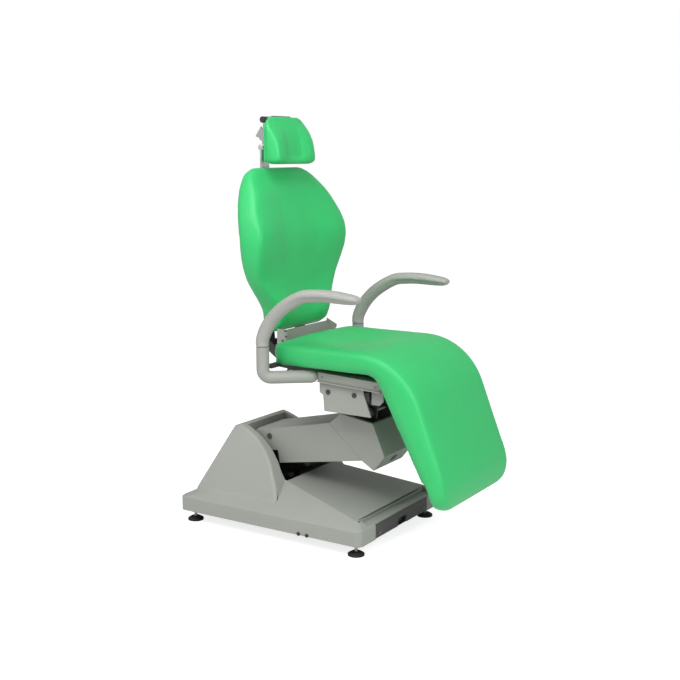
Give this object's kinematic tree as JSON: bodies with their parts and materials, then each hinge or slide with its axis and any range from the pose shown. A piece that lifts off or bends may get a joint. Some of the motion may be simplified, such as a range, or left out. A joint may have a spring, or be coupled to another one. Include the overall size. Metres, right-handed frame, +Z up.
{
  "type": "ear nose and throat treatment chair",
  "caption": "Green upholstered treatment chair with a one-piece seat and leg rest, reclining back, headrest and curved armrests, on a parallelogram lifting arm and a low housed base.",
  "frame": {"origin": "on the floor, at the middle of the part's box, which is the bottom centre of its bounding box", "axes": "+Z up, the sitter faces -Y, the chair's right side is -X"},
  "size_m": [0.7046, 1.1204, 1.5335],
  "materials": {
    "cover_grey": "semi-gloss warm light grey paint",
    "armrest_grey": "moulded soft grey plastic",
    "frame_dark": "black powder coat",
    "panel_dark": "dark grey sheet steel",
    "screw_dark": "blackened fasteners and caps",
    "steel": "plain steel",
    "chrome": "chrome plate",
    "lever_metal": "zinc plated steel",
    "bronze": "sintered bronze",
    "black_plastic": "black moulded plastic",
    "rubber": "black rubber",
    "board": "plywood",
    "green_vinyl": "smooth green upholstery vinyl"
  },
  "bodies": {
    "base": {"base_plate": "frame_dark", "pivot_tower": "frame_dark", "base_cover": "cover_grey", "cover_screws": "screw_dark", "front_panel": "panel_dark", "panel_screws": "steel", "mains_inlet": "black_plastic", "side_plugs": "black_plastic", "foot_pads": "rubber", "foot_studs": "steel", "foot_nuts": "steel", "pivot_pins": "steel", "power_supply": "steel", "control_unit": "black_plastic"},
    "arm": {"arm_beam": "frame_dark", "arm_bushes": "bronze", "arm_cover": "cover_grey", "elbow_cover": "cover_grey", "arm_plugs": "screw_dark", "arm_plate": "panel_dark", "motor_pin": "steel"},
    "link": {"level_link": "frame_dark"},
    "lift_motor": {"lift_motor": "black_plastic"},
    "lift_rod": {"lift_rod": "steel"},
    "seat": {"seat_carriage": "frame_dark", "carriage_pins": "steel", "cheek_right": "cover_grey", "cheek_left": "cover_grey", "cheek_bolts": "screw_dark", "front_bracket": "cover_grey", "seat_rail_right": "cover_grey", "seat_rail_left": "cover_grey", "rail_screws": "steel", "seat_frame": "frame_dark", "seat_board": "board", "seat_cushion": "green_vinyl", "tube_right": "cover_grey", "tube_left": "cover_grey", "back_motor": "black_plastic", "hinge_shaft": "steel"},
    "back_rod": {"back_rod": "steel"},
    "armrest_right": {"armrest_right": "armrest_grey"},
    "armrest_left": {"armrest_left": "armrest_grey"},
    "back": {"back_frame": "frame_dark", "back_levers": "frame_dark", "back_panel": "cover_grey", "back_screws": "screw_dark", "back_board": "board", "back_cushion": "green_vinyl", "bar_guide": "frame_dark"},
    "head_bar": {"head_bar": "chrome", "head_knuckle": "chrome"},
    "head_link": {"head_link": "lever_metal"},
    "head": {"head_plate": "lever_metal", "head_board": "board", "head_cushion": "green_vinyl", "head_knob": "black_plastic"},
    "head_lever": {"head_lever": "lever_metal"}
  },
  "joints": [
    {"name": "lift", "type": "hinge", "parent": "base", "child": "arm", "pos_m": [0, 0.3179, 0.302], "axis": [-1, 0, 0], "range_deg": [-10, 26]},
    {"name": "seat_level", "type": "hinge", "parent": "arm", "child": "seat", "pos_m": [0, -0.1521, 0.472], "axis": [-1, 0, 0], "range_deg": [-26.1, 10.1]},
    {"name": "link_swing", "type": "hinge", "parent": "base", "child": "link", "pos_m": [0, 0.3179, 0.247], "axis": [-1, 0, 0], "range_deg": [-10.1, 26.1]},
    {"name": "lift_motor_swing", "type": "hinge", "parent": "base", "child": "lift_motor", "pos_m": [0, 0.3579, 0.142], "axis": [-1, 0, 0], "range_deg": [-6.8, 17.5]},
    {"name": "lift_rod_slide", "type": "slide", "parent": "lift_motor", "child": "lift_rod", "axis": [0, -0.9034, 0.4287], "range_m": [-0.022, 0.054]},
    {"name": "back_recline", "type": "hinge", "parent": "seat", "child": "back", "pos_m": [0, 0.1909, 0.633], "axis": [-1, 0, 0], "range_deg": [0, 70]},
    {"name": "back_rod_slide", "type": "slide", "parent": "seat", "child": "back_rod", "axis": [0, -1, 0], "range_m": [0, 0.071]},
    {"name": "armrest_right_swing", "type": "hinge", "parent": "seat", "child": "armrest_right", "pos_m": [-0.323, 0.1379, 0.723], "axis": [0, 0, -1], "range_deg": [0, 90]},
    {"name": "armrest_left_swing", "type": "hinge", "parent": "seat", "child": "armrest_left", "pos_m": [0.323, 0.1379, 0.723], "axis": [0, 0, 1], "range_deg": [0, 90]},
    {"name": "head_height", "type": "slide", "parent": "back", "child": "head_bar", "axis": [0, 0, 1], "range_m": [0, 0.1]},
    {"name": "head_link_swing", "type": "hinge", "parent": "head_bar", "child": "head_link", "pos_m": [0, 0.35651, 1.4195], "axis": [-1, 0, 0], "range_deg": [0, 25]},
    {"name": "head_tilt", "type": "hinge", "parent": "head_link", "child": "head", "pos_m": [0, 0.34851, 1.5215], "axis": [-1, 0, 0], "range_deg": [0, 30]},
    {"name": "head_lever_turn", "type": "hinge", "parent": "head_link", "child": "head_lever", "pos_m": [0, 0.36851, 1.4535], "axis": [1, 0, 0], "range_deg": [0, 30]}
  ],
  "couplings": [
    {"joint": "seat_level", "follows": "lift", "ratio": -1},
    {"joint": "link_swing", "follows": "lift", "ratio": 1},
    {"joint": "lift_motor_swing", "follows": "lift", "ratio": 0.665},
    {"joint": "lift_rod_slide", "follows": "lift", "m_per_rad": 0.1164},
    {"joint": "back_rod_slide", "follows": "back_recline", "m_per_rad": 0.0573}
  ]
}
